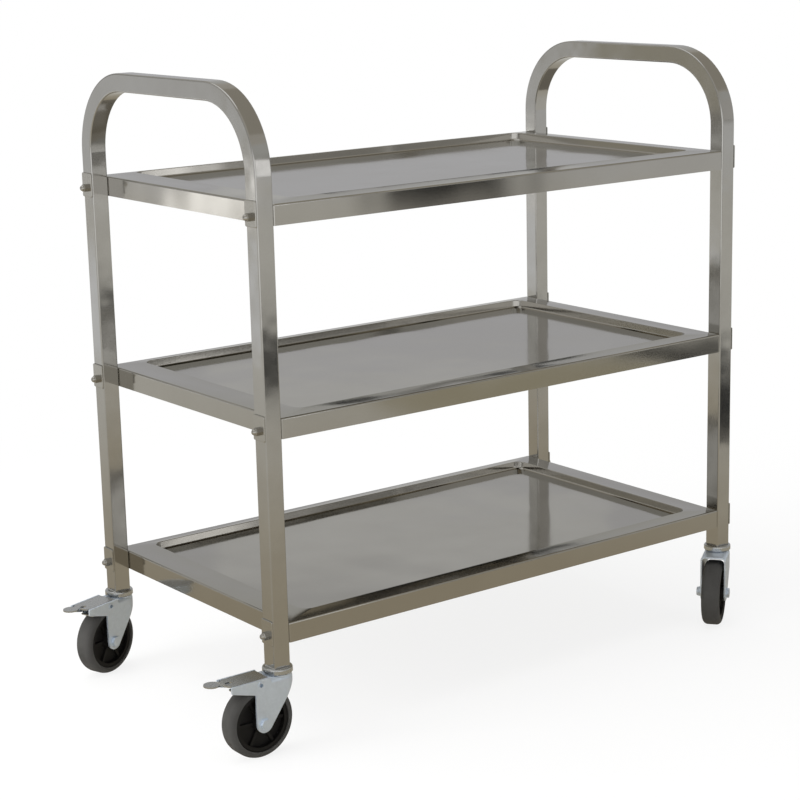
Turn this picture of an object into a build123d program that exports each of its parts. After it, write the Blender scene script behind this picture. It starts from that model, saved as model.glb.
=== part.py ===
from build123d import *
import os
from math import cos, floor, pi, radians, sin

# Serving trolley: three folded stainless trays bolted between two bent square-tube end frames,
# standing on four swivel castors, of which the two on the left carry a foot brake.
# Millimetres. The origin is on the floor, midway between the four legs: +X runs along the trays
# to the plain castors, +Y runs to the back and +Z is up.

# Clearances shared by every fit
running_play = 0.08  # radial, on whatever turns
thread_play = 0.05  # radial, between a thread and its nut
bolt_hole_play = 0.3  # radial, around a bolt shank
seat_play = 0.02  # radial, between a tyre and its wheel centre
plug_play = 0.1  # each side, between a leg plug and the tube

# End frames, bent from square tube
trolley_length = 850.0  # over the outer faces of the legs
trolley_width = 450.0
tube_side = 25.4
tube_wall = 1.2
tube_corner = 2.0
hoop_bend_radius = 102.0  # on the middle line of the tube
hoop_rise = 149.0  # from the rim of the top tray to the top of the hoop

# Trays, folded from sheet
sheet = 0.8
apron_height = 29.0
tray_pitch = 277.5
leg_below_tray = 30.5  # bare leg between the lowest tray and its castor
tray_corner = 2.5
rim_bend = 2.5
rim_side = 25.0  # flat rim along the front and the back
rim_end = 42.0  # flat rim at the two ends, over the tray bolts
pan_depth = 10.0
pan_slope = 1.2  # how far the walls lean in on their way down
pan_corner = 14.0
pan_edge_round = 1.0
pan_floor_round = 2.5
hem_width = 11.0

# Tray bolts, with a plate under each cap nut
tray_bolt = 6.0
bolt_height = 13.0  # above the lower edge of the apron
bolt_head_across = 10.0
bolt_head_height = 4.0
bolt_tail = 6.0  # thread inside the cap nut
nut_across = 10.0
nut_height = 6.3  # of the hexagon
nut_dome = 4.2  # radius
nut_thread_depth = 7.0
nut_corner = 0.6
clamp_plate = 2.0
clamp_plate_lip = 5.0  # how far a plate stands above the rim
clamp_plate_corner = 2.0
clamp_plate_edge = 0.6

# Wheels
wheel_diameter = 100.0
tyre_width = 28.0
tyre_thickness = 9.0
tyre_shoulder = 7.5
wheel_rim_width = 25.0
wheel_rim_thickness = 6.0
wheel_web = 11.0
wheel_boss = 26.0
wheel_rib = 4.0
wheel_rib_width = 19.0
wheel_ribs = 6
wheel_edge_round = 1.0
boss_side_play = 1.0

# Axles
axle_bolt = 8.0
axle_head_across = 13.0
axle_head_height = 4.5
axle_nut_height = 6.5
axle_nut_collar = 2.0
axle_tail = 0.5
axle_sleeve = 12.0

# Castor forks, pressed from plate
fork_plate = 2.5
fork_gap = 34.0
fork_trail = 35.0
fork_bend = 6.0
arm_end_radius = 12.5
nose_drop = 5.0  # height of the nose's front wall
crown_clearance = 7.0  # over the top of the wheel
crown_radius = 19.0

# Swivel heads
swivel_balls = 4.5
ball_circle = 13.5
ball_spacing = 1.15  # in ball diameters
race_gap = 2.2
lower_race_height = 1.5
lower_race_radius = 17.0
upper_race_height = 5.0
upper_race_radius = 20.5
upper_race_round = 2.5
skirt_wall = 2.7
skirt_drop = 2.4
stem_thread = 12.0
stem_reach = 25.0  # length of thread inside the leg plug
stem_journal = 14.0
stem_head_lip = 2.0  # how far the head stands out around the journal
stem_head_height = 5.0
stem_head_gap = 0.3
plug_flange = 0.9
plug_length = 32.0

# Foot brakes on the left castors
brake_angle = 12.0  # travel of the pedal in degrees
pin_back = 39.0  # from the swivel axis to the pedal pin
pin_rise = 4.6  # from the top of the wheel to the pedal pin
pin_diameter = 7.0
pin_bore = 5.4
pin_bore_depth = 6.0
pin_lip = 8.8
pin_lip_height = 0.8
wing_reach = 84.0  # from the swivel axis to the back of the fork's side wings
wing_rise = 2.5  # from the crown to the top of the wings
wing_drop = 10.8  # from the top of the wheel to the wings' lower edge above the axle
wing_tail = 9.4  # height of the wings at their back
wing_step = 24.0  # from the swivel axis to where the wings reach full height
wing_round = 2.0
pedal_plate = 2.0
pedal_side_play = 0.6
pedal_front = 25.5  # from the swivel axis to the front of the pedal
pedal_neck_back = 90.0
pedal_neck = 14.0
pedal_kick = 4.0  # rise of the foot pad above the plate
pad_back = 102.5  # from the swivel axis to the middle of the foot pad
pad_radius = 11.0
pedal_ear_radius = 5.5
pedal_ear_reach = 25.0
pedal_slot = 77.0  # from the swivel axis to the slot in the pedal
pedal_slot_length = 10.0
pedal_slot_width = 6.0
shoe_bearing = 30.0  # degrees behind the top of the wheel
shoe_gap = 0.4  # left between shoe and tyre with the pedal right down
shoe_plate = 2.0
shoe_width = 22.0
shoe_length = 16.0
shoe_foot = 5.0

# Which way each castor trails: degrees turned from trailing straight to the left
castor_turn = {"front_left": 0.0, "rear_left": 18.0, "front_right": 37.0, "rear_right": 217.0}
braked = ("front_left", "rear_left")

# Heights, stacked up from the floor
axle_height = wheel_diameter / 2
crown_under = wheel_diameter + crown_clearance
crown_top = crown_under + fork_plate
lower_race_top = crown_top + lower_race_height
ball_height = lower_race_top + race_gap / 2
upper_race_under = lower_race_top + race_gap
upper_race_top = upper_race_under + upper_race_height
leg_end = upper_race_top + plug_flange
bottom_tray = leg_end + leg_below_tray
tray_levels = {
    "bottom": bottom_tray,
    "middle": bottom_tray + tray_pitch,
    "top": bottom_tray + 2 * tray_pitch,
}
trolley_height = tray_levels["top"] + apron_height + hoop_rise

# Places of the legs
leg_x = (trolley_length - tube_side) / 2
leg_y = (trolley_width - tube_side) / 2
tray_length = trolley_length - 2 * tube_side
leg_side = {"front_left": (-1, -1), "rear_left": (-1, 1), "front_right": (1, -1), "rear_right": (1, 1)}
leg_places = [(sx * leg_x, sy * leg_y) for sx, sy in leg_side.values()]
bolt_hole = tray_bolt / 2 + bolt_hole_play

os.makedirs("parts", exist_ok=True)


def build_end_frame(side):
    """One bent tube: two legs and the hoop that joins them, drilled for the tray bolts."""
    hoop_line = trolley_height - tube_side / 2
    with BuildPart() as frame:
        with BuildLine(Plane.YZ.offset(side * leg_x)):
            FilletPolyline(
                (-leg_y, leg_end),
                (-leg_y, hoop_line),
                (leg_y, hoop_line),
                (leg_y, leg_end),
                radius=hoop_bend_radius,
            )
        with BuildSketch(Plane.XY.offset(leg_end)):
            with Locations((side * leg_x, -leg_y)):
                RectangleRounded(tube_side, tube_side, tube_corner)
                inside = tube_side - 2 * tube_wall
                RectangleRounded(inside, inside, tube_corner - tube_wall, mode=Mode.SUBTRACT)
        sweep()
        with BuildSketch(Plane.YZ.offset(side * leg_x)):
            for level in tray_levels.values():
                with Locations((-leg_y, level + bolt_height), (leg_y, level + bolt_height)):
                    Circle(bolt_hole)
        extrude(amount=tube_side, both=True, mode=Mode.SUBTRACT)
    return frame.part


def build_tray_block(inset, base, height):
    """A rectangular block with the tray's outline and folded edges, drawn in by the inset."""
    with BuildPart() as block:
        with BuildSketch(Plane.XY.offset(base)):
            RectangleRounded(tray_length - 2 * inset, trolley_width - 2 * inset, tray_corner - inset)
        extrude(amount=height)
        fillet(block.faces().sort_by(Axis.Z)[-1].edges(), rim_bend - inset)
    return block.part


def pan_outline(grow):
    """Draws the outline of the sunken pan, grown by a distance on every side."""
    length = tray_length - 2 * rim_end + 2 * grow
    width = trolley_width - 2 * rim_side + 2 * grow
    RectangleRounded(length, width, pan_corner + grow)


def build_tray(base):
    """One tray: aprons, flat rim, sunken pan and the hem turned in along the lower edge."""
    rim = base + apron_height
    outside = build_tray_block(0, base, apron_height)
    inside = build_tray_block(sheet, base, apron_height - sheet)
    with BuildPart() as tray:
        add(outside)
        add(inside, mode=Mode.SUBTRACT)
        with BuildSketch(Plane.XY.offset(base)):
            RectangleRounded(tray_length - sheet, trolley_width - sheet, tray_corner - sheet / 2)
            Rectangle(tray_length - 2 * hem_width, trolley_width - 2 * hem_width, mode=Mode.SUBTRACT)
        extrude(amount=sheet)
        with BuildSketch(Plane.XY.offset(rim - sheet / 2)):
            pan_outline(sheet)
        with BuildSketch(Plane.XY.offset(rim - pan_depth - sheet)):
            pan_outline(sheet - pan_slope)
        loft()
        with BuildSketch(Plane.XY.offset(rim)):
            pan_outline(0)
        with BuildSketch(Plane.XY.offset(rim - pan_depth)):
            pan_outline(-pan_slope)
        loft(mode=Mode.SUBTRACT)
        pan_floor = tray.faces().filter_by(Axis.Z).filter_by_position(
            Axis.Z, rim - pan_depth - sheet / 2, rim - pan_depth + sheet / 2
        )
        fillet(pan_floor.edges(), pan_floor_round)
        rim_face = tray.faces().sort_by(Axis.Z)[-1]
        fillet(rim_face.inner_wires()[0].edges(), pan_edge_round)
        with BuildSketch(Plane.YZ):
            with Locations((-leg_y, base + bolt_height), (leg_y, base + bolt_height)):
                Circle(bolt_hole)
        extrude(amount=tray_length, both=True, mode=Mode.SUBTRACT)
    return tray.part


# Plates that spread the load of the tray bolts over the outer faces of the legs.
# Local frame: the leg's outer face is the plane X = 0 and the bolt runs along +X.
with BuildPart() as clamp_plates_one:
    plate_height = apron_height + clamp_plate_lip
    with BuildSketch(Plane.YZ):
        with Locations((0, plate_height / 2 - bolt_height)):
            RectangleRounded(tube_side, plate_height, clamp_plate_corner)
        Circle(bolt_hole, mode=Mode.SUBTRACT)
    extrude(amount=-clamp_plate)
    outer_face = clamp_plates_one.faces().sort_by(Axis.X)[0]
    chamfer(outer_face.outer_wire().edges(), clamp_plate_edge)

# Tray bolts: the head bears inside the tray's end apron, the thread comes out through the plate
with BuildPart() as tray_bolt_one:
    head_face = tube_side + sheet
    with BuildSketch(Plane.YZ.offset(head_face)):
        RegularPolygon(bolt_head_across / 2, 6, major_radius=False)
    extrude(amount=bolt_head_height)
    with BuildSketch(Plane.YZ.offset(head_face)):
        Circle(tray_bolt / 2)
    extrude(amount=-(head_face + clamp_plate + bolt_tail))

# Cap nuts over the plates: a hexagon with its corners turned off and a dome
with BuildPart() as tray_nut_one:
    nut_face = -clamp_plate - nut_height
    with BuildSketch(Plane.YZ.offset(-clamp_plate)):
        RegularPolygon(nut_across / 2, 6, major_radius=False)
    extrude(amount=-nut_height)
    chamfer(tray_nut_one.faces().sort_by(Axis.X)[0].edges(), nut_corner)
    with BuildSketch(Plane.XY):
        with BuildLine():
            Line((nut_face, 0), (nut_face, nut_dome))
            RadiusArc((nut_face, nut_dome), (nut_face - nut_dome, 0), -nut_dome)
            Line((nut_face - nut_dome, 0), (nut_face, 0))
        make_face()
    revolve(axis=Axis.X)
    with BuildSketch(Plane.YZ.offset(-clamp_plate)):
        Circle(tray_bolt / 2 + thread_play)
    extrude(amount=-nut_thread_depth, mode=Mode.SUBTRACT)

for side, name in ((-1, "left_end_frame"), (1, "right_end_frame")):
    end_frame = build_end_frame(side)
    end_frame.label = name
    export_step(end_frame, f"parts/{name}.step")

for level_name, level in tray_levels.items():
    tray = build_tray(level)
    tray.label = f"{level_name}_tray"
    export_step(tray, f"parts/{tray.label}.step")
    bolt_z = level + bolt_height
    bolt_places = []
    for sx, sy in leg_side.values():
        turn = 0 if sx < 0 else 180
        bolt_places.append(Location((sx * trolley_length / 2, sy * leg_y, bolt_z), (0, 0, turn)))
    for piece, one in (
        ("clamp_plates", clamp_plates_one),
        ("bolts", tray_bolt_one),
        ("nuts", tray_nut_one),
    ):
        with BuildPart() as group:
            with Locations(*bolt_places):
                add(one.part)
        group.part.label = f"{level_name}_tray_{piece}"
        export_step(group.part, f"parts/{group.part.label}.step")

# Square nylon plugs in the leg ends, threaded for the castor stems
with BuildPart() as leg_plug_one:
    plug_side = tube_side - 2 * tube_wall - 2 * plug_play
    with BuildSketch(Plane.XY.offset(upper_race_top)):
        RectangleRounded(tube_side, tube_side, tube_corner)
    extrude(amount=plug_flange)
    with BuildSketch(Plane.XY.offset(leg_end)):
        RectangleRounded(plug_side, plug_side, tube_corner - tube_wall)
    extrude(amount=plug_length)
    with BuildSketch(Plane.XY.offset(upper_race_top)):
        Circle(stem_thread / 2 + thread_play)
    extrude(amount=plug_flange + plug_length, mode=Mode.SUBTRACT)

# Castor stems: the head under the fork holds it up to the balls, the shoulder carries the upper
# race and the thread screws into the leg plug
stem_head_radius = stem_journal / 2 + stem_head_lip
with BuildPart() as castor_stem_one:
    head_top = crown_under - stem_head_gap
    with BuildSketch(Plane.XZ):
        with BuildLine():
            Polyline(
                (0, head_top - stem_head_height),
                (stem_head_radius, head_top - stem_head_height),
                (stem_head_radius, head_top),
                (stem_journal / 2, head_top),
                (stem_journal / 2, upper_race_under),
                (stem_thread / 2, upper_race_under),
                (stem_thread / 2, leg_end + stem_reach),
                (0, leg_end + stem_reach),
                close=True,
            )
        make_face()
    revolve(axis=Axis.Z)

# Upper races: pressed caps over the balls, with a skirt that keeps dirt out
with BuildPart() as upper_race_one:
    skirt_inside = upper_race_radius - skirt_wall
    with BuildSketch(Plane.XZ):
        with BuildLine():
            Polyline(
                (stem_thread / 2 + thread_play, upper_race_under),
                (skirt_inside, upper_race_under),
                (skirt_inside, upper_race_under - skirt_drop),
                (upper_race_radius, upper_race_under - skirt_drop),
                (upper_race_radius, upper_race_top),
                (stem_thread / 2 + thread_play, upper_race_top),
                close=True,
            )
        make_face()
        with Locations((ball_circle, ball_height)):
            Circle(swivel_balls / 2 + thread_play, mode=Mode.SUBTRACT)
    revolve(axis=Axis.Z)
    fillet(upper_race_one.edges().group_by(Axis.Z)[-1].sort_by(SortBy.RADIUS)[-1], upper_race_round)

for name, one in (
    ("leg_plugs", leg_plug_one),
    ("castor_stems", castor_stem_one),
    ("castor_upper_races", upper_race_one),
):
    with BuildPart() as group:
        with Locations(*leg_places):
            add(one.part)
    group.part.label = name
    export_step(group.part, f"parts/{name}.step")

# Castor pieces, each in the castor's own frame: the swivel axis is Z and the wheel trails to -X
fork_half = fork_gap / 2 + fork_plate
arm_back = fork_trail + arm_end_radius
pin_height = wheel_diameter + pin_rise
wing_top = crown_top + wing_rise
ball_count = floor(2 * pi * ball_circle / (swivel_balls * ball_spacing))
axle_line = Axis((-fork_trail, 0, axle_height), (0, 1, 0))
wheel_section = Plane(origin=(-fork_trail, 0, axle_height), x_dir=(1, 0, 0), z_dir=(0, 0, 1))


def build_fork_block(inset, top, bend):
    """A block with the fork's plan outline, round about the swivel axis, drawn in by the inset."""
    half = fork_half - inset
    back = -arm_back - fork_half
    with BuildPart() as block:
        with BuildSketch(Plane.XY):
            with BuildLine():
                Polyline((0, half), (back, half), (back, -half), (0, -half))
                ThreePointArc((0, -half), (half, 0), (0, half))
            make_face()
        extrude(amount=top)
        fillet(block.faces().sort_by(Axis.Z)[-1].edges(), bend)
    return block.part


def build_fork(has_brake):
    """A pressed fork: crown, two arms, the lower race and, with a brake, two side wings."""
    outside = build_fork_block(0, crown_top, fork_bend)
    inside = build_fork_block(fork_plate, crown_under, fork_bend - fork_plate)
    with BuildPart() as fork:
        add(outside)
        add(inside, mode=Mode.SUBTRACT)
        with BuildSketch(Plane.XZ):
            with BuildLine():
                CenterArc((-fork_trail, axle_height), arm_end_radius, 0, 360)
                Line((-arm_back, crown_top), (fork_half, crown_top))
                Line((fork_half, crown_top), (fork_half, crown_top - nose_drop))
            make_hull()
        extrude(amount=fork_half, both=True, mode=Mode.INTERSECT)
        if has_brake:
            with BuildSketch(Plane.XY.offset(crown_under - fork_bend)):
                with Locations((-wing_step, 0)):
                    Rectangle(arm_back, fork_gap, align=(Align.MAX, Align.CENTER))
            extrude(amount=fork_bend + fork_plate, mode=Mode.SUBTRACT)
            wing_low = wheel_diameter - wing_drop
            for face in (fork_gap / 2, -fork_half):
                with BuildSketch(Plane.XZ.offset(face)) as wing:
                    with BuildLine():
                        Polyline(
                            (-upper_race_radius, wing_low),
                            (-fork_trail, wing_low),
                            (-wing_reach, wing_top - wing_tail),
                            (-wing_reach, wing_top),
                            (-wing_step, wing_top),
                            close=True,
                        )
                    make_face()
                    fillet(wing.vertices().group_by(Axis.X)[0], wing_round)
                extrude(amount=fork_plate)
            with BuildSketch(Plane.XZ):
                with Locations((-pin_back, pin_height)):
                    Circle(pin_diameter / 2 + thread_play)
            extrude(amount=fork_half, both=True, mode=Mode.SUBTRACT)
        else:
            tail_corners = fork.edges().filter_by(Axis.Y).group_by(Axis.X)[0].group_by(Axis.Z)[-1]
            fillet(tail_corners, fork_plate / 2)
        with BuildSketch(Plane.XZ):
            with BuildLine():
                Polyline(
                    (0, crown_under),
                    (crown_radius, crown_under),
                    (crown_radius, crown_top),
                    (lower_race_radius, crown_top),
                    (lower_race_radius, lower_race_top),
                    (0, lower_race_top),
                    close=True,
                )
            make_face()
            with Locations((ball_circle, ball_height)):
                Circle(swivel_balls / 2 + thread_play, mode=Mode.SUBTRACT)
        revolve(axis=Axis.Z)
        with BuildSketch(Plane.XY.offset(crown_under - fork_plate)):
            Circle(stem_journal / 2 + running_play)
        extrude(amount=2 * fork_plate + lower_race_height, mode=Mode.SUBTRACT)
        with BuildSketch(Plane.XZ):
            with Locations((-fork_trail, axle_height)):
                Circle(axle_bolt / 2 + bolt_hole_play)
        extrude(amount=fork_half, both=True, mode=Mode.SUBTRACT)
    return fork.part


plain_fork = build_fork(False)
braked_fork = build_fork(True)

# Swivel balls, one ring for each castor
with BuildPart() as swivel_ball_ring:
    with Locations((0, 0, ball_height)):
        with PolarLocations(ball_circle, ball_count):
            Sphere(swivel_balls / 2)

# Axle bolts, with the hexagon head on the -Y cheek
with BuildPart() as axle_bolt_one:
    with BuildSketch(Plane.XZ.offset(fork_half)):
        with Locations((-fork_trail, axle_height)):
            RegularPolygon(axle_head_across / 2, 6, major_radius=False)
    extrude(amount=axle_head_height)
    with BuildSketch(Plane.XZ.offset(fork_half)):
        with Locations((-fork_trail, axle_height)):
            Circle(axle_bolt / 2)
    extrude(amount=-2 * fork_half - axle_nut_height - axle_tail)

# Self-locking axle nuts on the +Y cheek
with BuildPart() as axle_nut_one:
    with BuildSketch(Plane.XZ.offset(-fork_half)):
        with Locations((-fork_trail, axle_height)):
            RegularPolygon(axle_head_across / 2, 6, major_radius=False)
    extrude(amount=-(axle_nut_height - axle_nut_collar))
    with BuildSketch(Plane.XZ.offset(-fork_half)):
        with Locations((-fork_trail, axle_height)):
            Circle(axle_head_across / 2)
    extrude(amount=-axle_nut_height)
    with BuildSketch(Plane.XZ.offset(-fork_half)):
        with Locations((-fork_trail, axle_height)):
            Circle(axle_bolt / 2 + thread_play)
    extrude(amount=-axle_nut_height, mode=Mode.SUBTRACT)

# Axle sleeves, clamped between the cheeks so that the wheel runs free
with BuildPart() as axle_sleeve_one:
    with BuildSketch(Plane.XZ):
        with Locations((-fork_trail, axle_height)):
            Circle(axle_sleeve / 2)
            Circle(axle_bolt / 2 + thread_play, mode=Mode.SUBTRACT)
    extrude(amount=fork_gap / 2, both=True)

# Wheel centres: a boss on the sleeve, a web with ribs and the rim under the tyre
with BuildPart() as wheel_centre:
    centre_radius = wheel_diameter / 2 - tyre_thickness
    boss_half = fork_gap / 2 - boss_side_play
    bore = axle_sleeve / 2 + running_play
    rim_inside = centre_radius - wheel_rim_thickness
    with BuildSketch(wheel_section):
        with BuildLine():
            Polyline(
                (bore, -boss_half),
                (wheel_boss / 2, -boss_half),
                (wheel_boss / 2, -wheel_web / 2),
                (rim_inside, -wheel_web / 2),
                (rim_inside, -wheel_rim_width / 2),
                (centre_radius, -wheel_rim_width / 2),
                (centre_radius, wheel_rim_width / 2),
                (rim_inside, wheel_rim_width / 2),
                (rim_inside, wheel_web / 2),
                (wheel_boss / 2, wheel_web / 2),
                (wheel_boss / 2, boss_half),
                (bore, boss_half),
                close=True,
            )
        make_face()
    revolve(axis=axle_line)
    rib_middle = (wheel_boss / 2 + rim_inside) / 2
    rib_length = rim_inside - wheel_boss / 2 + wheel_rim_thickness
    with BuildSketch(Plane.XZ):
        with Locations((-fork_trail, axle_height)):
            with PolarLocations(rib_middle, wheel_ribs):
                Rectangle(rib_length, wheel_rib)
    extrude(amount=wheel_rib_width / 2, both=True)
    rim_edges = wheel_centre.edges().filter_by(GeomType.CIRCLE).group_by(SortBy.RADIUS)[-1]
    chamfer(rim_edges, wheel_edge_round)

# Tyres, crowned at both shoulders
with BuildPart() as tyre:
    with BuildSketch(wheel_section) as tyre_section:
        with Locations(((wheel_diameter - tyre_thickness + seat_play) / 2, 0)):
            Rectangle(tyre_thickness - seat_play, tyre_width)
        fillet(tyre_section.vertices().group_by(Axis.X)[-1], tyre_shoulder)
    revolve(axis=axle_line)

# Pedals: a flat plate between the fork's wings, a neck and a raised round foot pad
with BuildPart() as brake_pedal:
    plate_middle = wing_top - pedal_plate / 2
    ear_half = fork_gap / 2 - pedal_side_play
    with BuildSketch(Plane.XZ) as pedal_strip:
        with BuildLine():
            Polyline(
                (-pedal_front, plate_middle),
                (-wing_reach, plate_middle),
                (-pedal_neck_back - pedal_kick, plate_middle + pedal_kick),
                (-pad_back - pad_radius, plate_middle + pedal_kick),
            )
        trace(line_width=pedal_plate)
    extrude(amount=ear_half, both=True)
    with BuildSketch(Plane.XY.offset(wheel_diameter)) as pedal_plan:
        with BuildLine():
            Polyline(
                (-pedal_front, -ear_half),
                (-pedal_front, ear_half),
                (-wing_reach + pedal_neck / 2, ear_half),
                (-pedal_neck_back, pedal_neck / 2),
                (-pad_back, pedal_neck / 2),
                (-pad_back, -pedal_neck / 2),
                (-pedal_neck_back, -pedal_neck / 2),
                (-wing_reach + pedal_neck / 2, -ear_half),
                close=True,
            )
        make_face()
        with Locations((-pad_back, 0)):
            Circle(pad_radius)
        with Locations((-pedal_slot, 0)):
            SlotOverall(pedal_slot_length, pedal_slot_width, mode=Mode.SUBTRACT)
    extrude(amount=wing_top + pedal_kick + pedal_plate - wheel_diameter, mode=Mode.INTERSECT)
    for face in (ear_half, -ear_half + pedal_plate):
        with BuildSketch(Plane.XZ.offset(face)):
            with BuildLine():
                CenterArc((-pin_back, pin_height), pedal_ear_radius, 0, 360)
                Line((-pedal_front, plate_middle), (-pedal_front - pedal_ear_reach, plate_middle))
            make_hull()
        extrude(amount=-pedal_plate)
    with BuildSketch(Plane.XZ):
        with Locations((-pin_back, pin_height)):
            Circle(pin_diameter / 2 + running_play)
    extrude(amount=fork_half, both=True, mode=Mode.SUBTRACT)


def lifted(x, z):
    """Where a point of the pressed pedal, given in the castor's frame, lies with the pedal up."""
    across = x + pin_back
    up = z - pin_height
    turn = radians(brake_angle)
    return (across * cos(turn) + up * sin(turn) - pin_back, up * cos(turn) - across * sin(turn) + pin_height)


# Brake shoes: a bent strip under the pedal, tangent to the tyre when the pedal is right down
with BuildPart() as brake_shoe:
    bearing = radians(shoe_bearing)
    shoe_radius = axle_height + shoe_gap + shoe_plate / 2
    contact_x = -fork_trail - shoe_radius * sin(bearing)
    contact_z = axle_height + shoe_radius * cos(bearing)
    half_x = shoe_length / 2 * cos(bearing)
    half_z = shoe_length / 2 * sin(bearing)
    foot_height = wing_top - pedal_plate - shoe_plate / 2
    shoe_start = lifted(contact_x + half_x, contact_z + half_z)
    with BuildSketch(Plane.XZ):
        with BuildLine():
            Polyline(
                (shoe_start[0] + 2 * shoe_foot, foot_height),
                (shoe_start[0] + shoe_foot, foot_height),
                shoe_start,
                lifted(contact_x - half_x, contact_z - half_z),
            )
        trace(line_width=shoe_plate)
    extrude(amount=shoe_width / 2, both=True)

# Pedal pins: tubular rivets through both cheeks, with a rolled lip at each end
with BuildPart() as brake_pin:
    with BuildSketch(Plane.XZ):
        with Locations((-pin_back, pin_height)):
            Circle(pin_diameter / 2)
    extrude(amount=fork_half, both=True)
    for face, outward in ((fork_half, 1), (-fork_half, -1)):
        with BuildSketch(Plane.XZ.offset(face)):
            with Locations((-pin_back, pin_height)):
                Circle(pin_lip / 2)
        extrude(amount=outward * pin_lip_height)
        with BuildSketch(Plane.XZ.offset(face + outward * pin_lip_height)):
            with Locations((-pin_back, pin_height)):
                Circle(pin_bore / 2)
        extrude(amount=-outward * pin_bore_depth, mode=Mode.SUBTRACT)

castor_pieces = {
    "swivel_balls": swivel_ball_ring.part,
    "axle_bolt": axle_bolt_one.part,
    "axle_nut": axle_nut_one.part,
    "axle_sleeve": axle_sleeve_one.part,
    "wheel_centre": wheel_centre.part,
    "tyre": tyre.part,
}
brake_pieces = {
    "brake_pedal": brake_pedal.part,
    "brake_shoe": brake_shoe.part,
    "brake_pin": brake_pin.part,
}

for corner, turn in castor_turn.items():
    sx, sy = leg_side[corner]
    place = Location((sx * leg_x, sy * leg_y, 0), (0, 0, turn))
    pieces = {"castor_fork": braked_fork if corner in braked else plain_fork, **castor_pieces}
    if corner in braked:
        pieces.update(brake_pieces)
    for piece_name, piece in pieces.items():
        placed = piece.moved(place)
        placed.label = f"{corner}_{piece_name}"
        export_step(placed, f"parts/{placed.label}.step")
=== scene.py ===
import math

import bpy
from mathutils import Matrix, Vector


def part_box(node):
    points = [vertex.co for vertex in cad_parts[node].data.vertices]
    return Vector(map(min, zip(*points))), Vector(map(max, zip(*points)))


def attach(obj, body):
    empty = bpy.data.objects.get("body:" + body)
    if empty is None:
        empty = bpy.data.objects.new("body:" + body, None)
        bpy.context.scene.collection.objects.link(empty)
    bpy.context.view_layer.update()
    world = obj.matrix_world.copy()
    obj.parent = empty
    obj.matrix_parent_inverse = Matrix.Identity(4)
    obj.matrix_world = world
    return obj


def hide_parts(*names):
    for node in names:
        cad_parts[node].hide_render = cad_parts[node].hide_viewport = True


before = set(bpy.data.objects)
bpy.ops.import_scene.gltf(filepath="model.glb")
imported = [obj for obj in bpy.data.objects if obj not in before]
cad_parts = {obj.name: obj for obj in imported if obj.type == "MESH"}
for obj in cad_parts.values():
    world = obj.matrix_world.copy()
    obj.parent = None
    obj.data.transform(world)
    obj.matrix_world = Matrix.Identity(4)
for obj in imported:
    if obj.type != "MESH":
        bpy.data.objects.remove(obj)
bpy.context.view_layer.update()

# End frames
# Each is one length of 25 mm square stainless tube, bent twice into a hoop with two legs. The tube was
# polished along its length before bending, so the fine lines follow it round the bends.
hoop_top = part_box("left_end_frame")[1]
hoop_bend_radius = 0.1147  # metres, to the outside of the tube
hoop_bend_line = hoop_top.y - hoop_bend_radius  # from the middle of the hoop to the middle of a bend
hoop_bend_height = hoop_top.z - hoop_bend_radius
tube_line_pitch = 0.0009  # real lines are a tenth of this and would not show
tube_mark_size = 0.07
tube_hollow_size = 0.045
mix_from, mix_to, mixed = 6, 7, 2  # the colour sockets of a Mix node, which share their names with others


def linear(code):
    """An sRGB hex colour as the linear colour that a shader takes."""
    parts = [int(code[i:i + 2], 16) / 255 for i in (1, 3, 5)]
    return [c / 12.92 if c <= 0.04045 else ((c + 0.055) / 1.055) ** 2.4 for c in parts] + [1]


def add_node(tree, kind, settings, links=()):
    """Adds a node: settings are its attributes or input values, links are pairs of input and source."""
    node = tree.nodes.new(kind)
    for key, value in settings.items():
        if isinstance(key, str) and hasattr(node, key):
            setattr(node, key, value)
        else:
            node.inputs[key].default_value = value
    for socket, source in links:
        tree.links.new(source, node.inputs[socket])
    return node


def new_material(name):
    """A material with no nodes yet, and its node tree."""
    material = bpy.data.materials.new(name)
    material.use_nodes = True
    material.node_tree.nodes.clear()
    return material, material.node_tree


def finish_with(names, material):
    """Gives CAD nodes their finish."""
    for name in names:
        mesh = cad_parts[name].data
        mesh.materials.clear()
        mesh.materials.append(material)


# Polished stainless tube: bright grey, faintly warm, with drawn lines, soft hand marks in the gloss and the
# shallow hollows that a polishing wheel leaves, which make reflections waver.
tube_steel, tree = new_material("polished_stainless_tube")
place = add_node(tree, "ShaderNodeTexCoord", {})
axes = add_node(tree, "ShaderNodeSeparateXYZ", {}, [(0, place.outputs["Object"])])
# The lines change only across the tube, so they are laid out by the distance from the middle of the bends.
side = add_node(tree, "ShaderNodeMath", {"operation": "ABSOLUTE"}, [(0, axes.outputs["Y"])])
past_side = add_node(
    tree, "ShaderNodeMath", {"operation": "SUBTRACT", 1: hoop_bend_line}, [(0, side.outputs[0])]
)
over_side = add_node(tree, "ShaderNodeMath", {"operation": "MAXIMUM", 1: 0.0}, [(0, past_side.outputs[0])])
past_top = add_node(
    tree, "ShaderNodeMath", {"operation": "SUBTRACT", 1: hoop_bend_height}, [(0, axes.outputs["Z"])]
)
over_top = add_node(tree, "ShaderNodeMath", {"operation": "MAXIMUM", 1: 0.0}, [(0, past_top.outputs[0])])
from_bend = add_node(
    tree, "ShaderNodeCombineXYZ", {}, [(0, over_side.outputs[0]), (1, over_top.outputs[0])]
)
across = add_node(tree, "ShaderNodeVectorMath", {"operation": "LENGTH"}, [(0, from_bend.outputs[0])])
line_place = add_node(
    tree, "ShaderNodeCombineXYZ", {}, [(0, across.outputs["Value"]), (1, axes.outputs["X"])]
)
lines = add_node(
    tree,
    "ShaderNodeTexNoise",
    {"Scale": 1 / tube_line_pitch, "Detail": 3.0},
    [("Vector", line_place.outputs[0])],
)
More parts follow.
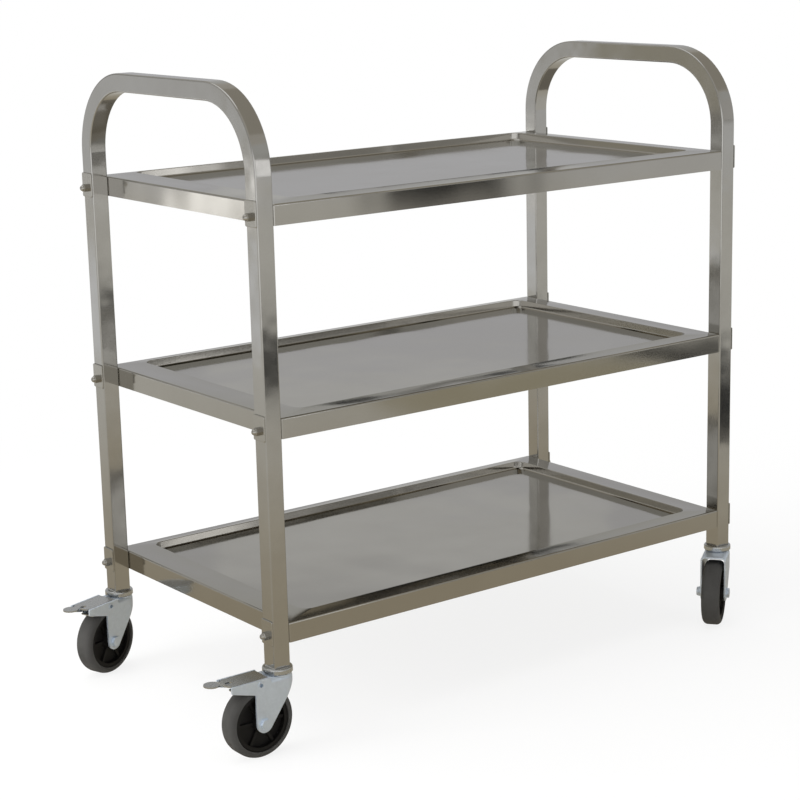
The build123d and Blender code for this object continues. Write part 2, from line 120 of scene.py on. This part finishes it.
marks = add_node(
    tree,
    "ShaderNodeTexNoise",
    {"Scale": 1 / tube_mark_size, "Detail": 4.0, "Roughness": 0.6},
    [("Vector", place.outputs["Object"])],
)
gloss = add_node(tree, "ShaderNodeMapRange", {"To Min": 0.07, "To Max": 0.16}, [(0, marks.outputs["Fac"])])
tone = add_node(
    tree,
    "ShaderNodeMix",
    {"data_type": "RGBA", mix_from: linear("#c6c5c2"), mix_to: linear("#b6b4b0")},
    [(0, marks.outputs["Fac"])],
)
hollows = add_node(
    tree,
    "ShaderNodeTexNoise",
    {"Scale": 1 / tube_hollow_size, "Detail": 1.0},
    [("Vector", place.outputs["Object"])],
)
wave = add_node(
    tree, "ShaderNodeBump", {"Strength": 1.0, "Distance": 0.0005}, [("Height", hollows.outputs["Fac"])]
)
relief = add_node(
    tree,
    "ShaderNodeBump",
    {"Strength": 0.12, "Distance": 0.00003},
    [("Height", lines.outputs["Fac"]), ("Normal", wave.outputs[0])],
)
steel = add_node(
    tree,
    "ShaderNodeBsdfPrincipled",
    {"Metallic": 1.0},
    [("Base Color", tone.outputs[mixed]), ("Roughness", gloss.outputs[0]), ("Normal", relief.outputs[0])],
)
add_node(tree, "ShaderNodeOutputMaterial", {}, [(0, steel.outputs[0])])
finish_with(["left_end_frame", "right_end_frame"], tube_steel)

# Trays
# Each is folded from 0.8 mm stainless sheet: aprons all round, a rim and a sunken pan, bolted between the
# legs. Folding left the rims falling a little from the pan to the aprons.
rim_fall = 0.0026
rim_width = (0.0411, 0.0241)  # of the end rims and of the side rims, from the pan's edge to the apron's face
fold_radius = 0.0025
fold_height = 0.0045  # how far below the rim the fold reaches
merge_distance = 1e-6
fold_angle = math.radians(35)  # edges sharper than this stay sharp
flat_weight = 100  # the flats keep their own normals, and the folds take up the turn
levels = ("bottom", "middle", "top")
sheet_grain_width = 0.0012  # real grain is finer and would not show
sheet_grain_draw = 0.006  # width of the grain to its length
sheet_mark_size = 0.16
sheet_buckle_size = 0.13

# Satin stainless sheet: grey, faintly warm, with its rolling grain along the tray, soft marks in the gloss
# and slow buckles, in which straight reflections bend.
sheet_steel, tree = new_material("satin_stainless_sheet")
place = add_node(tree, "ShaderNodeTexCoord", {})
along = add_node(
    tree, "ShaderNodeMapping", {"Scale": (sheet_grain_draw, 1.0, 1.0)}, [("Vector", place.outputs["Object"])]
)
grain = add_node(
    tree,
    "ShaderNodeTexNoise",
    {"Scale": 1 / sheet_grain_width, "Detail": 3.0},
    [("Vector", along.outputs[0])],
)
marks = add_node(
    tree,
    "ShaderNodeTexNoise",
    {"Scale": 1 / sheet_mark_size, "Detail": 4.0, "Roughness": 0.6},
    [("Vector", place.outputs["Object"])],
)
gloss = add_node(tree, "ShaderNodeMapRange", {"To Min": 0.06, "To Max": 0.14}, [(0, marks.outputs["Fac"])])
tone = add_node(
    tree,
    "ShaderNodeMix",
    {"data_type": "RGBA", mix_from: linear("#c0beb9"), mix_to: linear("#b3b0aa")},
    [(0, marks.outputs["Fac"])],
)
buckle = add_node(
    tree,
    "ShaderNodeTexNoise",
    {"Scale": 1 / sheet_buckle_size, "Detail": 1.0},
    [("Vector", place.outputs["Object"])],
)
wave = add_node(
    tree, "ShaderNodeBump", {"Strength": 1.0, "Distance": 0.0012}, [("Height", buckle.outputs["Fac"])]
)
relief = add_node(
    tree,
    "ShaderNodeBump",
    {"Strength": 0.1, "Distance": 0.00003},
    [("Height", grain.outputs["Fac"]), ("Normal", wave.outputs[0])],
)
steel = add_node(
    tree,
    "ShaderNodeBsdfPrincipled",
    {"Metallic": 1.0},
    [("Base Color", tone.outputs[mixed]), ("Roughness", gloss.outputs[0]), ("Normal", relief.outputs[0])],
)
add_node(tree, "ShaderNodeOutputMaterial", {}, [(0, steel.outputs[0])])
for level in levels:
    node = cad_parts[f"{level}_tray"]
    tray_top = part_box(f"{level}_tray")[1]
    rim_start = [tray_top[i] - rim_width[i] for i in (0, 1)]
    rim_end = [tray_top[i] - fold_radius for i in (0, 1)]
    bpy.ops.object.select_all(action="DESELECT")
    sheet = bpy.data.objects.new(f"{level}_tray_sheet", node.data.copy())
    bpy.context.scene.collection.objects.link(sheet)
    bpy.context.view_layer.objects.active = sheet
    sheet.select_set(True)
    bpy.ops.mesh.customdata_custom_splitnormals_clear()
    bpy.ops.object.mode_set(mode="EDIT")
    bpy.ops.mesh.select_all(action="SELECT")
    bpy.ops.mesh.remove_doubles(threshold=merge_distance)
    bpy.ops.mesh.mark_sharp(clear=True)
    bpy.ops.object.mode_set(mode="OBJECT")
    # The rim rises by half of its fall at the pan's edge and sinks by half at the apron.
    for vertex in sheet.data.vertices:
        if vertex.co.z > tray_top.z - fold_height:
            out = max((abs(vertex.co[i]) - rim_start[i]) / (rim_end[i] - rim_start[i]) for i in (0, 1))
            vertex.co.z += rim_fall * (0.5 - min(max(out, 0), 1))
    bpy.ops.object.shade_smooth_by_angle(angle=fold_angle)
    flats_first = sheet.modifiers.new("flats_first", "WEIGHTED_NORMAL")
    flats_first.weight = flat_weight
    flats_first.keep_sharp = True
    bpy.ops.object.modifier_apply(modifier=flats_first.name)
    sheet.data.materials.clear()
    sheet.data.materials.append(sheet_steel)
    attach(sheet, "frame")
    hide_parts(f"{level}_tray")

# Tray fixings
# A plate, a bolt and a cap nut at each corner of each tray clamp the apron to the leg, the nut outside.
# They are stainless, and were tumbled bright in a barrel.
fixing_pieces = ("clamp_plates", "bolts", "nuts")
fixing_mottle_size = 0.003

# Tumbled stainless: a polish without direction, so highlights are soft, over a fine even mottle.
fixing_steel, tree = new_material("tumbled_stainless")
place = add_node(tree, "ShaderNodeTexCoord", {})
mottle = add_node(
    tree,
    "ShaderNodeTexNoise",
    {"Scale": 1 / fixing_mottle_size, "Detail": 3.0},
    [("Vector", place.outputs["Object"])],
)
gloss = add_node(tree, "ShaderNodeMapRange", {"To Min": 0.16, "To Max": 0.3}, [(0, mottle.outputs["Fac"])])
relief = add_node(
    tree, "ShaderNodeBump", {"Strength": 0.2, "Distance": 0.00004}, [("Height", mottle.outputs["Fac"])]
)
steel = add_node(
    tree,
    "ShaderNodeBsdfPrincipled",
    {"Metallic": 1.0, "Base Color": linear("#bdbbb6")},
    [("Roughness", gloss.outputs[0]), ("Normal", relief.outputs[0])],
)
add_node(tree, "ShaderNodeOutputMaterial", {}, [(0, steel.outputs[0])])
for level in levels:
    finish_with([f"{level}_tray_{piece}" for piece in fixing_pieces], fixing_steel)

# Castor metal
# Steel throughout: forks pressed from strip, stems, axle pieces and brake pins turned, swivel balls ground.
# The stems screw into the leg plugs, the forks turn on the stems and balls, and the axles cross the forks.
corners = ("front_left", "rear_left", "front_right", "rear_right")
braked_corners = ("front_left", "rear_left")
castor_pieces = ("castor_fork", "swivel_balls", "axle_bolt", "axle_nut", "axle_sleeve")
zinc_mottle_size = 0.006

# Bright zinc plate: pale and bluish, with wide soft highlights over a crystalline mottle.
zinc, tree = new_material("bright_zinc_plate")
place = add_node(tree, "ShaderNodeTexCoord", {})
mottle = add_node(
    tree,
    "ShaderNodeTexNoise",
    {"Scale": 1 / zinc_mottle_size, "Detail": 5.0, "Roughness": 0.65},
    [("Vector", place.outputs["Object"])],
)
gloss = add_node(tree, "ShaderNodeMapRange", {"To Min": 0.28, "To Max": 0.46}, [(0, mottle.outputs["Fac"])])
tone = add_node(
    tree,
    "ShaderNodeMix",
    {"data_type": "RGBA", mix_from: linear("#dde7f3"), mix_to: linear("#c8d2de")},
    [(0, mottle.outputs["Fac"])],
)
relief = add_node(
    tree, "ShaderNodeBump", {"Strength": 0.2, "Distance": 0.00005}, [("Height", mottle.outputs["Fac"])]
)
steel = add_node(
    tree,
    "ShaderNodeBsdfPrincipled",
    {"Metallic": 0.7},
    [("Base Color", tone.outputs[mixed]), ("Roughness", gloss.outputs[0]), ("Normal", relief.outputs[0])],
)
add_node(tree, "ShaderNodeOutputMaterial", {}, [(0, steel.outputs[0])])
finish_with(["castor_stems"], zinc)
for corner in corners:
    finish_with([f"{corner}_{piece}" for piece in castor_pieces], zinc)
finish_with([f"{corner}_brake_pin" for corner in braked_corners], zinc)

# Brake pedals and upper races
# Pressed from smoother steel strip than the forks, and zinc plated too. The races are the round caps under
# the legs. The pedals turn on pins in the two left forks, with the brake shoe under each.
scuff_size = 0.004

# Smooth zinc plate: neutral grey, mirrors more than the forks do, and is dulled in small scuffs by shoes.
smooth_zinc, tree = new_material("smooth_zinc_plate")
place = add_node(tree, "ShaderNodeTexCoord", {})
scuffs = add_node(
    tree,
    "ShaderNodeTexNoise",
    {"Scale": 1 / scuff_size, "Detail": 5.0, "Roughness": 0.7},
    [("Vector", place.outputs["Object"])],
)
gloss = add_node(tree, "ShaderNodeMapRange", {"To Min": 0.16, "To Max": 0.36}, [(0, scuffs.outputs["Fac"])])
tone = add_node(
    tree,
    "ShaderNodeMix",
    {"data_type": "RGBA", mix_from: linear("#d8dadb"), mix_to: linear("#b6b8b9")},
    [(0, scuffs.outputs["Fac"])],
)
relief = add_node(
    tree, "ShaderNodeBump", {"Strength": 0.25, "Distance": 0.00005}, [("Height", scuffs.outputs["Fac"])]
)
steel = add_node(
    tree,
    "ShaderNodeBsdfPrincipled",
    {"Metallic": 1.0},
    [("Base Color", tone.outputs[mixed]), ("Roughness", gloss.outputs[0]), ("Normal", relief.outputs[0])],
)
add_node(tree, "ShaderNodeOutputMaterial", {}, [(0, steel.outputs[0])])
finish_with(["castor_upper_races"], smooth_zinc)
for corner in braked_corners:
    finish_with([f"{corner}_brake_pedal", f"{corner}_brake_shoe"], smooth_zinc)

# Leg plugs
# Square plugs, moulded in grey nylon and pushed into the leg ends. They carry the castor stems, and only a
# thin flange shows under each leg.
nylon_cloud_size = 0.008

# Grey nylon: half gloss and slightly cloudy.
grey_nylon, tree = new_material("grey_nylon")
place = add_node(tree, "ShaderNodeTexCoord", {})
cloud = add_node(
    tree,
    "ShaderNodeTexNoise",
    {"Scale": 1 / nylon_cloud_size, "Detail": 3.0},
    [("Vector", place.outputs["Object"])],
)
tone = add_node(
    tree,
    "ShaderNodeMix",
    {"data_type": "RGBA", mix_from: linear("#84837f"), mix_to: linear("#979590")},
    [(0, cloud.outputs["Fac"])],
)
nylon = add_node(
    tree, "ShaderNodeBsdfPrincipled", {"Roughness": 0.45, "IOR": 1.53}, [("Base Color", tone.outputs[mixed])]
)
add_node(tree, "ShaderNodeOutputMaterial", {}, [(0, nylon.outputs[0])])
finish_with(["leg_plugs"], grey_nylon)

# Wheel centres
# Each is injection moulded in black polypropylene, boss, web, ribs and rim in one. It runs on the axle's
# sleeve, between the cheeks of the fork.
spark_size = 0.0012  # real spark texture is a tenth of this and would not show
wheel_dust_size = 0.02

# Moulded black plastic: near black and dull from the mould's spark texture, a little paler where dust lies.
black_plastic, tree = new_material("moulded_black_plastic")
place = add_node(tree, "ShaderNodeTexCoord", {})
spark = add_node(
    tree,
    "ShaderNodeTexNoise",
    {"Scale": 1 / spark_size, "Detail": 2.0},
    [("Vector", place.outputs["Object"])],
)
dust = add_node(
    tree,
    "ShaderNodeTexNoise",
    {"Scale": 1 / wheel_dust_size, "Detail": 4.0},
    [("Vector", place.outputs["Object"])],
)
tone = add_node(
    tree,
    "ShaderNodeMix",
    {"data_type": "RGBA", mix_from: linear("#080707"), mix_to: linear("#121010")},
    [(0, dust.outputs["Fac"])],
)
relief = add_node(
    tree, "ShaderNodeBump", {"Strength": 0.3, "Distance": 0.0001}, [("Height", spark.outputs["Fac"])]
)
plastic = add_node(
    tree,
    "ShaderNodeBsdfPrincipled",
    {"Roughness": 0.65, "IOR": 1.49, "Specular IOR Level": 0.35},
    [("Base Color", tone.outputs[mixed]), ("Normal", relief.outputs[0])],
)
add_node(tree, "ShaderNodeOutputMaterial", {}, [(0, plastic.outputs[0])])
finish_with([f"{corner}_wheel_centre" for corner in corners], black_plastic)

# Tyres
# Each is a band of dark grey rubber, moulded on to the wheel centre's rim and held there by the bond.
# It is the only part of the trolley that touches the floor.
rubber_grain_size = 0.0015  # real grain is finer and would not show
tyre_dust_size = 0.03

# Dark grey rubber: matt, with a little floor dust in its grain.
rubber, tree = new_material("dark_grey_rubber")
place = add_node(tree, "ShaderNodeTexCoord", {})
grain = add_node(
    tree,
    "ShaderNodeTexNoise",
    {"Scale": 1 / rubber_grain_size, "Detail": 3.0},
    [("Vector", place.outputs["Object"])],
)
dust = add_node(
    tree,
    "ShaderNodeTexNoise",
    {"Scale": 1 / tyre_dust_size, "Detail": 5.0},
    [("Vector", place.outputs["Object"])],
)
tone = add_node(
    tree,
    "ShaderNodeMix",
    {"data_type": "RGBA", mix_from: linear("#353433"), mix_to: linear("#4d4c4a")},
    [(0, dust.outputs["Fac"])],
)
relief = add_node(
    tree, "ShaderNodeBump", {"Strength": 0.35, "Distance": 0.00015}, [("Height", grain.outputs["Fac"])]
)
tread = add_node(
    tree,
    "ShaderNodeBsdfPrincipled",
    {"Roughness": 0.72, "IOR": 1.52},
    [("Base Color", tone.outputs[mixed]), ("Normal", relief.outputs[0])],
)
add_node(tree, "ShaderNodeOutputMaterial", {}, [(0, tread.outputs[0])])
finish_with([f"{corner}_tyre" for corner in corners], rubber)

# Studio floor
# A plain pale floor under a white surround. It keeps the trolley's shadow close by and is white farther
# off. From below it is not there, so that the underside can be looked at.
floor_radius = 9
round_sides = 96
shadow_end = 0.6  # from the middle of the trolley; here the floor starts to turn white
white_start = 1.6
white_near = 0.84  # how white the floor is where the shadow falls
bpy.ops.object.select_all(action="DESELECT")
bpy.ops.mesh.primitive_circle_add(
    vertices=round_sides, radius=floor_radius, fill_type="NGON", location=(0, 0, 0)
)
floor = bpy.context.object
floor.name = "floor"

# Pale floor: matt paint, which takes the shadow, under plain white for the eye and for mirrors.
pale_floor, tree = new_material("pale_floor")
place = add_node(tree, "ShaderNodeTexCoord", {})
reach = add_node(tree, "ShaderNodeVectorMath", {"operation": "LENGTH"}, [(0, place.outputs["Object"])])
fade = add_node(
    tree,
    "ShaderNodeMapRange",
    {
        "interpolation_type": "SMOOTHSTEP",
        "From Min": shadow_end,
        "From Max": white_start,
        "To Min": white_near,
        "To Max": 1.0,
    },
    [(0, reach.outputs["Value"])],
)
ray = add_node(tree, "ShaderNodeLightPath", {})
direct = add_node(
    tree,
    "ShaderNodeMath",
    {"operation": "MAXIMUM"},
    [(0, ray.outputs["Is Camera Ray"]), (1, ray.outputs["Is Glossy Ray"])],
)
seen = add_node(
    tree, "ShaderNodeMath", {"operation": "MULTIPLY"}, [(0, direct.outputs[0]), (1, fade.outputs[0])]
)
paint = add_node(tree, "ShaderNodeBsdfDiffuse", {"Color": linear("#f4f4f3")})
white = add_node(tree, "ShaderNodeEmission", {"Color": (1, 1, 1, 1), "Strength": 1.0})
both = add_node(
    tree, "ShaderNodeMixShader", {}, [(0, seen.outputs[0]), (1, paint.outputs[0]), (2, white.outputs[0])]
)
face = add_node(tree, "ShaderNodeNewGeometry", {})
clear = add_node(tree, "ShaderNodeBsdfTransparent", {})
from_above = add_node(
    tree,
    "ShaderNodeMixShader",
    {},
    [(0, face.outputs["Backfacing"]), (1, both.outputs[0]), (2, clear.outputs[0])],
)
add_node(tree, "ShaderNodeOutputMaterial", {}, [(0, from_above.outputs[0])])
floor.data.materials.append(pale_floor)

# Cards around the trolley
# Glowing grey cards that only its metal mirrors, so they are painted reflections. They paint into it the
# tones of a workshop, warm near the floor, with dark and bright things standing about, inside a round room.
room_radius = 6
room_height = 4
ground_lift = 0.001  # keeps the ground card clear of the floor
camera_way = (0.602, 0.799, 0)  # the way the camera looks, on plan
painted_highlight_middle = (-0.8, 1.3, 3.99)
painted_highlight_radius = 2.0
painted_highlight_sides = 64
upright = math.pi / 2


def paint_reflection_card(card, name, tone="#ffffff", strength=1.0):
    """Makes an object a glowing card that only reflections see, a painted reflection in one tone, and gives
    back its nodes.
    """
    card.name = name
    material, tree = new_material(name)
    glow = add_node(tree, "ShaderNodeEmission", {"Color": linear(tone), "Strength": strength})
    add_node(tree, "ShaderNodeOutputMaterial", {}, [(0, glow.outputs[0])])
    card.data.materials.append(material)
    card.visible_camera = False
    card.visible_diffuse = False
    card.visible_shadow = False
    card.visible_transmission = False
    return tree, glow


# Painted reflection of the ground: warmer and darker near the trolley, the darkening being painted shade of
# the trolley.
bpy.ops.object.select_all(action="DESELECT")
bpy.ops.mesh.primitive_circle_add(
    vertices=round_sides, radius=room_radius, fill_type="NGON", location=(0, 0, ground_lift)
)
bpy.ops.object.transform_apply(location=True, rotation=False, scale=False)
tree, glow = paint_reflection_card(bpy.context.object, "ground_card")
place = add_node(tree, "ShaderNodeTexCoord", {})
distance = add_node(tree, "ShaderNodeVectorMath", {"operation": "LENGTH"}, [(0, place.outputs["Object"])])
share = add_node(
    tree, "ShaderNodeMapRange", {"From Min": 0.7, "From Max": 2.1}, [(0, distance.outputs["Value"])]
)
ground_tone_and_shade = add_node(
    tree,
    "ShaderNodeMix",
    {"data_type": "RGBA", mix_from: linear("#aba28f"), mix_to: linear("#cac8c1")},
    [(0, share.outputs[0])],
)
tree.links.new(ground_tone_and_shade.outputs[mixed], glow.inputs["Color"])

# Painted reflection of a wall: light ahead of the camera, bright behind it and dark at its sides, with a
# pale foot.
bpy.ops.object.select_all(action="DESELECT")
bpy.ops.mesh.primitive_cylinder_add(
    vertices=round_sides,
    radius=room_radius,
    depth=room_height,
    end_fill_type="NOTHING",
    location=(0, 0, room_height / 2),
)
bpy.ops.object.transform_apply(location=True, rotation=False, scale=False)
tree, glow = paint_reflection_card(bpy.context.object, "wall_card")
place = add_node(tree, "ShaderNodeTexCoord", {})
flat = add_node(
    tree, "ShaderNodeVectorMath", {"operation": "MULTIPLY", 1: (1, 1, 0)}, [(0, place.outputs["Object"])]
)
way = add_node(tree, "ShaderNodeVectorMath", {"operation": "NORMALIZE"}, [(0, flat.outputs[0])])
facing = add_node(
    tree, "ShaderNodeVectorMath", {"operation": "DOT_PRODUCT", 1: camera_way}, [(0, way.outputs[0])]
)
both_ways = add_node(tree, "ShaderNodeMath", {"operation": "ABSOLUTE"}, [(0, facing.outputs["Value"])])
light_side = add_node(
    tree,
    "ShaderNodeMapRange",
    {"interpolation_type": "SMOOTHSTEP", "From Min": 0.62, "From Max": 0.8},
    [(0, both_ways.outputs[0])],
)
axes = add_node(tree, "ShaderNodeSeparateXYZ", {}, [(0, place.outputs["Object"])])
foot = add_node(
    tree,
    "ShaderNodeMapRange",
    {"interpolation_type": "SMOOTHSTEP", "From Min": 0.6, "From Max": 1.0},
    [(0, axes.outputs["Z"])],
)
upper = add_node(
    tree,
    "ShaderNodeMapRange",
    {"interpolation_type": "SMOOTHSTEP", "From Min": 1.6, "From Max": 3.2},
    [(0, axes.outputs["Z"])],
)
side_tone = add_node(
    tree,
    "ShaderNodeMix",
    {"data_type": "RGBA", mix_from: linear("#908e89"), mix_to: linear("#b5b5b7")},
    [(0, light_side.outputs[0])],
)
foot_tone = add_node(
    tree,
    "ShaderNodeMix",
    {"data_type": "RGBA", mix_from: linear("#cbcbca")},
    [(0, foot.outputs[0]), (mix_to, side_tone.outputs[mixed])],
)
bright_side = add_node(
    tree,
    "ShaderNodeMapRange",
    {"interpolation_type": "SMOOTHSTEP", "From Min": -0.62, "From Max": -0.85},
    [(0, facing.outputs["Value"])],
)
bright_tone = add_node(
    tree,
    "ShaderNodeMix",
    {"data_type": "RGBA", mix_to: linear("#ffffff")},
    [(0, bright_side.outputs[0]), (mix_from, foot_tone.outputs[mixed])],
)
wall_tone = add_node(
    tree,
    "ShaderNodeMix",
    {"data_type": "RGBA", mix_to: linear("#b6b6b3")},
    [(0, upper.outputs[0]), (mix_from, bright_tone.outputs[mixed])],
)
tree.links.new(wall_tone.outputs[mixed], glow.inputs["Color"])

# Painted reflections: a grey glowing ceiling, with one round glowing disc where a skylight would be, a
# painted highlight that lights nothing.
bpy.ops.object.select_all(action="DESELECT")
bpy.ops.mesh.primitive_circle_add(
    vertices=round_sides, radius=room_radius, fill_type="NGON", location=(0, 0, room_height)
)
bpy.ops.object.transform_apply(location=True, rotation=False, scale=False)
paint_reflection_card(bpy.context.object, "ceiling_card", "#b3afa7")

bpy.ops.object.select_all(action="DESELECT")
bpy.ops.mesh.primitive_circle_add(
    vertices=painted_highlight_sides, radius=painted_highlight_radius, fill_type="NGON", location=painted_highlight_middle
)
bpy.ops.object.transform_apply(location=True, rotation=False, scale=False)
paint_reflection_card(bpy.context.object, "painted_skylight_highlight", "#f9f9f9")

# Painted reflections and highlights: glowing patches on the ground and boards standing up, for what stands
# or lies about;
# those with strength over 1 are painted highlights. Each has the place of its middle, its size, its turn
# about Z, whether it stands, its tone and its strength.
for name, middle, size, turn, stands, tone, strength in (
    ("dark_strip_front", (0.965, -2.338, 0.003), (0.76, 0.32), -0.985, False, "#1c1c1c", 1.0),
    ("dark_strip_right", (1.46, -1.24, 0.003), (0.7, 0.24), -0.76, False, "#303030", 1.0),
    ("dark_patch_right", (1.8, -1.76, 0.003), (0.28, 0.4), 0.0, False, "#272727", 1.0),
    ("olive_patch_right", (1.24, -1.72, 0.002), (0.76, 0.4), 0.0, False, "#a69f89", 1.0),
    ("dark_patch_side", (1.22, -0.05, 0.003), (0.3, 0.9), 0.0, False, "#79746a", 1.0),
    ("dark_board_far", (3.04, -4.267, 0.3), (0.57, 0.6), 0.66, True, "#1c1c1c", 1.0),
    ("grey_patch_far", (2.67, -3.79, 0.003), (1.2, 0.5), -0.909, False, "#95928c", 1.0),
    ("low_bright_board_far", (2.6, -5.38, 0.13), (0.26, 0.26), 0.45, True, "#ffffff", 1.05),
    ("high_bright_board_far", (2.88, -5.24, 1.25), (0.34, 1.5), 0.5, True, "#ffffff", 1.5),
    ("pale_board_right", (4.42, -4.03, 2.4), (0.9, 3.0), 0.83, True, "#bab8b4", 1.0),
    ("bright_patch_behind", (-2.7, -3.6, 0.002), (4.4, 2.6), -0.64, False, "#fafafa", 1.0),
    ("dark_patch_left", (-1.1, -2.4, 0.003), (0.34, 0.45), 0.0, False, "#3f3f3f", 1.0),
    ("dark_patch_back", (1.3, 2.2, 0.003), (0.34, 0.45), 0.0, False, "#3f3f3f", 1.0),
    ("dark_patch_near_back", (0.78, 0.78, 0.003), (0.56, 0.34), 0.0, False, "#303030", 1.0),
    ("pale_patch_back", (-1.98, 2.95, 0.002), (1.9, 0.9), 2.09, False, "#e2e3e4", 1.0),
    ("bright_patch_back", (-3.2, 4.47, 0.002), (0.9, 0.3), 2.164, False, "#fffefc", 1.7),
    ("bright_board_back", (-3.4, 4.75, 0.05), (0.3, 0.1), 0.59, True, "#fffefc", 1.9),
    ("olive_board_back", (-3.95, 4.35, 0.5), (0.75, 1.0), 0.73, True, "#a49f90", 1.0),
    ("pale_board_back", (3.55, 4.75, 1.98), (2.6, 0.42), 2.5, True, "#c2c2c0", 1.0),
    ("dark_board_high_left", (3.49, 4.77, 2.93), (0.22, 0.38), 2.51, True, "#161616", 1.0),
    ("grey_board_high", (3.78, 4.53, 2.68), (0.52, 0.24), 2.45, True, "#6f6d69", 1.0),
    ("dark_board_high_middle", (4.02, 4.33, 2.59), (0.13, 0.34), 2.39, True, "#161616", 1.0),
    ("dark_board_high_right", (4.13, 4.23, 2.47), (0.15, 0.36), 2.37, True, "#161616", 1.0),
    ("dark_board_high_far", (4.26, 4.10, 2.86), (0.21, 0.40), 2.34, True, "#161616", 1.0),
    ("pale_board_left", (-3.84, 4.49, 1.75), (1.3, 0.8), 0.71, True, "#d6d6d4", 1.0),
    ("pale_board_front", (2.5, -5.33, 2.28), (0.6, 1.1), 0.44, True, "#efefed", 1.0),
    ("olive_patch_above", (3.0, -0.4, 3.98), (3.6, 5.6), 0.0, False, "#9f9a8f", 1.0),
):
    bpy.ops.object.select_all(action="DESELECT")
    bpy.ops.mesh.primitive_plane_add(size=1, location=middle, rotation=(upright if stands else 0, 0, turn))
    bpy.context.object.scale = (*size, 1)
    bpy.ops.object.transform_apply(location=True, rotation=True, scale=True)
    paint_reflection_card(bpy.context.object, name, tone, strength)

# White surround and lamps
# White all round for the eye and for mirrors, and a softer white as light. A wide lamp hangs over the
# trolley and a smaller one stands at its left, and neither shows in the metal.
surround_light = 0.55
lamp_target = Vector((0, 0, 0.4))
world = bpy.data.worlds.new("white_surround")
bpy.context.scene.world = world
world.use_nodes = True
tree = world.node_tree
tree.nodes.clear()
ray = add_node(tree, "ShaderNodeLightPath", {})
direct = add_node(
    tree,
    "ShaderNodeMath",
    {"operation": "MAXIMUM"},
    [(0, ray.outputs["Is Camera Ray"]), (1, ray.outputs["Is Glossy Ray"])],
)
through = add_node(
    tree,
    "ShaderNodeMath",
    {"operation": "MAXIMUM"},
    [(0, direct.outputs[0]), (1, ray.outputs["Is Transmission Ray"])],
)
white_level = add_node(
    tree, "ShaderNodeMapRange", {"To Min": surround_light, "To Max": 1.0}, [(0, through.outputs[0])]
)
surround = add_node(
    tree, "ShaderNodeBackground", {"Color": (1, 1, 1, 1)}, [("Strength", white_level.outputs[0])]
)
add_node(tree, "ShaderNodeOutputWorld", {}, [(0, surround.outputs[0])])

for name, spot, size, power in (
    ("overhead_lamp", (-0.8, 0.4, 3.2), 4.0, 85),
    ("left_lamp", (-3.3, 0.3, 1.6), 1.8, 75),
):
    lamp = bpy.data.objects.new(name, bpy.data.lights.new(name, "AREA"))
    bpy.context.scene.collection.objects.link(lamp)
    lamp.data.shape = "DISK"
    lamp.data.size = size
    lamp.data.energy = power
    lamp.visible_glossy = False
    aim = (lamp_target - Vector(spot)).to_track_quat("-Z", "Y")
    lamp.matrix_world = Matrix.Translation(spot) @ aim.to_matrix().to_4x4()

# Camera
# A long lens a little above the top tray, to the left of the trolley's front, held very slightly turned.
# Its place and lens were fitted to the straight edges of legs and trays. Angles are in radians.
camera_place = (-1.81315, -2.37617, 1.07458)
camera_heading = -0.641
camera_dip = 0.229
camera_roll = -0.024
camera_lens = 92.3  # millimetres, as the film width is
film_width = 36
camera = bpy.data.objects.new("camera", bpy.data.cameras.new("camera"))
bpy.context.scene.collection.objects.link(camera)
camera.data.sensor_width = film_width
camera.data.lens = camera_lens
camera.matrix_world = (
    Matrix.Translation(camera_place)
    @ Matrix.Rotation(camera_heading, 4, "Z")
    @ Matrix.Rotation(upright - camera_dip, 4, "X")
    @ Matrix.Rotation(camera_roll, 4, "Z")
)
bpy.context.scene.camera = camera
bpy.context.scene.view_settings.view_transform = "Standard"
